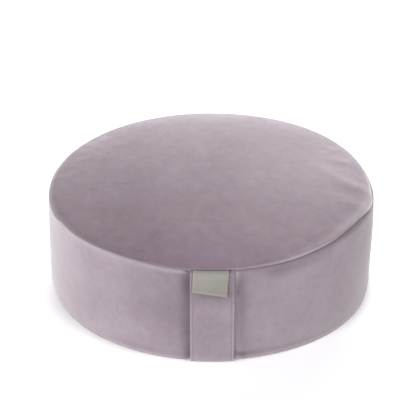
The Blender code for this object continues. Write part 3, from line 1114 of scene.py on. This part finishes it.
def bumped(tree, height, distance, **before):
    """A normal bumped by a height, over the one before where there is one."""
    node = add(tree, "ShaderNodeBump")
    set_inputs(node, {"Strength": 1.0, "Distance": distance, "Height": height, **before})
    return node.outputs["Normal"]


def velvet(look):
    """Short-pile velvet: deep and pale patches, finer crushing of the pile, its tips, and its sheen, with
    painted light, shade and sheen from the mesh.
    """
    material, tree, shader = new_material(look.name)
    place = placed(tree, look.turn, look.stretch)
    patches = noise(tree, place, look.patch_scale, PATCH_DETAIL, PATCH_ROUGHNESS)
    crush = noise(tree, place, look.crush_scale, CRUSH_DETAIL, CRUSH_ROUGHNESS)
    tips = noise(tree, placed(tree), *PILE_TIPS)
    # Painted light and shade from the mesh scale the pile's colour and its sheen, and where high blend it
    # toward a painted sheen; the panel's edge is painted greyer as painted sheen
    painted_light = painted(tree, "painted_light")
    both = combined(tree, "ADD", patches, crush)
    pile = blended(tree, ranged(tree, both, *PILE_RANGE, 0.0, 1.0), look.deep, look.pale)
    pile = blended(tree, painted(tree, "painted_edge_sheen"), pile, EDGE_SHEEN_PILE)
    pile = blended(tree, 1.0, pile, ranged(tree, tips, 0.0, 1.0, *TIP_RANGE), "MULTIPLY")
    painted_lit_pile = add(tree, "ShaderNodeVectorMath", operation="SCALE")
    set_inputs(painted_lit_pile, {"Vector": pile, "Scale": painted_light})
    painted_sheen = ranged(tree, painted_light, PAINTED_SHEEN_FROM, PAINTED_SHEEN_FULL, 0.0, PAINTED_SHEEN_SHARE)
    pile = blended(tree, painted_sheen, painted_lit_pile.outputs["Vector"], PAINTED_SHEEN_PILE)
    sheen = combined(tree, "MULTIPLY", painted_light, look.sheen)
    normal = bumped(tree, patches, PATCH_BUMP)
    normal = bumped(tree, crush, CRUSH_BUMP, Normal=normal)
    normal = bumped(tree, tips, TIP_BUMP, Normal=normal)
    set_inputs(shader, {"Base Color": pile, "Sheen Weight": sheen, "Normal": normal, **VELVET_FINISH})
    return material


def thread_material():
    material, tree, shader = new_material("mauve_thread")
    twist = noise(tree, placed(tree), *THREAD_TWIST)
    set_inputs(shader, {"Base Color": blended(tree, twist, THREAD_DEEP, THREAD_PALE),
                        "Normal": bumped(tree, twist, THREAD_BUMP), **THREAD_FINISH})
    return material


def ribbon_material():
    material, tree, shader = new_material("grey_ribbon")
    place = placed(tree)
    slub = noise(tree, place, *RIBBON_SLUB)
    both = combined(tree, "ADD", slub, noise(tree, place, *RIBBON_FADE))
    mean = combined(tree, "MULTIPLY", both, 0.5)
    set_inputs(shader, {"Base Color": blended(tree, mean, RIBBON_DEEP, RIBBON_PALE),
                        "Normal": bumped(tree, slub, RIBBON_BUMP), **RIBBON_FINISH})
    return material


# Studio: round white paper that glows a little, a painted light, less under the cushion and in the soft
# painted shadows beside it, and more at its rim

PAPER_RADIUS = 1.15
PAPER_STEPS = 96
PAPER_DEEP = (0.90, 0.905, 0.91)
PAPER_PALE = (0.92, 0.925, 0.93)
PAPER_FINISH = {"Roughness": 0.9, "Emission Color": (1.0, 1.0, 1.0)}
PAPER_FADE = 0.75
PAPER_RIM_GLOW = 0.3
FLOOR_GLOW = 0.46
# Painted contact shadow: the glow's share under the cushion, and where it fades in past the drum's radius
FLOOR_UNDER = 0.30
FLOOR_CONTACT = (-0.006, 0.003)
FLOOR_PAINTED_SHADOWS = table(
    "azimuth spread reach share",
    (-154, 0.11, 0.024, 0.60),
    (-128, 0.10, 0.011, 0.45),
    (-28, 0.09, 0.012, 0.35),
)

# Softboxes, placed about a point in the cushion and turned to it: metres, watts, and a tint in green
AIM = Vector((0.0, 0.0, 0.10))
SOFTBOXES = table(
    "name azimuth elevation distance width height power green",
    ("back_softbox", 75, 8, 1.2, 0.95, 0.8, 22.5, 1.0),
    ("left_softbox", 180, 10, 2.2, 1.4, 1.4, 21.2, 1.0),
    ("front_left_softbox", -120, 10, 2.2, 1.4, 1.4, 16.7, 1.0),
    ("front_softbox", -120, 32, 2.2, 1.4, 1.4, 11.0, 1.0),
    ("front_right_softbox", -30, 10, 2.2, 1.4, 1.4, 7.0, 0.93),
    ("right_softbox", 0, 25, 1.2, 0.8, 0.8, 1.2, 0.93),
)

# The room's light, by how far up it comes from: 0 at the horizon and 1 overhead
SKY = table(
    "rise light",
    (0.0, 1.0),
    (0.26, 1.0),
    (0.40, 0.25),
    (0.60, 0.25),
    (0.75, 0.05),
    (1.0, 0.05),
)


def eased(tree, value, start, end, to_start, to_end):
    return ranged(tree, value, start, end, to_start, to_end, "SMOOTHSTEP")


def distance_from(tree, where, x, y):
    node = add(tree, "ShaderNodeVectorMath", operation="DISTANCE")
    set_inputs(node, {0: where, 1: (x, y, 0.0)})
    return node.outputs["Value"]


def make_floor():
    """Round white paper, its rim as bright as the white room behind it, with painted shadows by the cushion.
    """
    turns = np.arange(PAPER_STEPS) * math.tau / PAPER_STEPS
    rim = [(PAPER_RADIUS * math.cos(turn), PAPER_RADIUS * math.sin(turn), 0.0) for turn in turns]
    mesh = new_mesh("white_floor", rim, [], [tuple(range(PAPER_STEPS))])
    floor = linked("white_floor", mesh)
    material, tree, shader = new_material("white_paper")
    paper = blended(tree, noise(tree, placed(tree), *PAPER_GRAIN), PAPER_DEEP, PAPER_PALE)
    where = add(tree, "ShaderNodeTexCoord").outputs["Object"]
    off_middle = distance_from(tree, where, 0.0, 0.0)
    contact = [RADIUS + past for past in FLOOR_CONTACT]
    glow = eased(tree, off_middle, *contact, FLOOR_GLOW * FLOOR_UNDER, FLOOR_GLOW)
    for shade in FLOOR_PAINTED_SHADOWS:
        turn = math.radians(shade.azimuth)
        off_shade = distance_from(tree, where, RADIUS * math.cos(turn), RADIUS * math.sin(turn))
        outward = eased(tree, off_middle, RADIUS, RADIUS + shade.reach, shade.share, 0.0)
        shaded = combined(tree, "MULTIPLY", outward, eased(tree, off_shade, 0.0, shade.spread, 1.0, 0.0))
        glow = combined(tree, "SUBTRACT", glow, combined(tree, "MULTIPLY", glow, shaded))
    rim_glow = eased(tree, off_middle, PAPER_FADE, PAPER_RADIUS, 0.0, PAPER_RIM_GLOW)
    glow = combined(tree, "ADD", glow, rim_glow)
    set_inputs(shader, {"Base Color": paper, "Emission Strength": glow, **PAPER_FINISH})
    mesh.materials.append(material)
    return floor


def look_along(item, direction):
    item.rotation_mode = "QUATERNION"
    item.rotation_quaternion = direction.to_track_quat("-Z", "Y")


def make_softboxes():
    for box in SOFTBOXES:
        light = bpy.data.lights.new(box.name, "AREA")
        light.shape = "RECTANGLE"
        light.size = box.width
        light.size_y = box.height
        light.energy = box.power
        light.color = (1.0, box.green, 1.0)
        turn = math.radians(box.azimuth)
        rise = math.radians(box.elevation)
        item = linked(box.name, light)
        item.location = Vector((math.cos(turn) * math.cos(rise), math.sin(turn) * math.cos(rise),
                                math.sin(rise))) * box.distance + AIM
        look_along(item, AIM - item.location)


def make_world():
    """A white room, bright at its walls and dim overhead."""
    world = bpy.data.worlds.new("white_studio")
    bpy.context.scene.world = world
    world.use_nodes = True
    tree = world.node_tree
    toward = add(tree, "ShaderNodeTexCoord")
    parts = add(tree, "ShaderNodeSeparateXYZ")
    shade = add(tree, "ShaderNodeValToRGB")
    stops = shade.color_ramp.elements
    while len(stops) > 1:
        stops.remove(stops[-1])
    for index, row in enumerate(SKY):
        stop = stops[0] if index == 0 else stops.new(row.rise)
        stop.position = row.rise
        stop.color = (row.light, row.light, row.light, 1.0)
    wire(tree, (
        (toward, "Generated", parts, 0),
        (parts, "Z", shade, "Fac"),
        (shade, "Color", tree.nodes["Background"], "Color"),
    ))


# Camera: fitted to the outline of the drum in the photograph, 400 pixels square

CAMERA_ELEVATION = 32.0
CAMERA_TURN = 0.65
CAMERA_DISTANCE = 2.52
FOCAL_PIXELS = 1898.0
PICTURE_SIDE = 400.0
ORIGIN_PIXEL = (210.7, 271.8)
SENSOR = 36.0
NEAREST = 0.1
FARTHEST = 50.0


def make_camera():
    rise = math.radians(CAMERA_ELEVATION)
    turn = math.radians(CAMERA_TURN)
    place = Vector((-math.cos(rise) * math.sin(turn), -math.cos(rise) * math.cos(turn),
                    math.sin(rise))) * CAMERA_DISTANCE
    ahead = -place.normalized()
    right = ahead.cross(Vector((0.0, 0.0, 1.0))).normalized()
    up = right.cross(ahead)
    off_right = (ORIGIN_PIXEL[0] - PICTURE_SIDE / 2.0) / FOCAL_PIXELS
    off_down = (ORIGIN_PIXEL[1] - PICTURE_SIDE / 2.0) / FOCAL_PIXELS
    look = (ahead - right * off_right + up * off_down).normalized()
    data = bpy.data.cameras.new("product_camera")
    data.sensor_width = SENSOR
    data.lens = FOCAL_PIXELS / PICTURE_SIDE * SENSOR
    data.clip_start = NEAREST
    data.clip_end = FARTHEST
    camera = linked("product_camera", data)
    camera.location = place
    look_along(camera, look)
    bpy.context.scene.camera = camera


def main():
    scene = bpy.context.scene
    scene.view_settings.view_transform = "Standard"
    make_camera()
    make_world()
    make_softboxes()
    make_floor()

    thread = thread_material()
    ribbon = ribbon_material()
    cushion = make_cushion(velvet(PANEL_VELVET), velvet(BAND_VELVET), velvet(BASE_VELVET))
    strap = make_strap()
    strap.data.materials.append(velvet(STRAP_VELVET))
    stitching = make_topstitching(thread)
    label = make_label(ribbon)

    for piece in (cushion, strap, stitching, label):
        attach(piece, "root")
    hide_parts("cushion")
    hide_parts("handle_strap")
    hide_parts("label")


main()
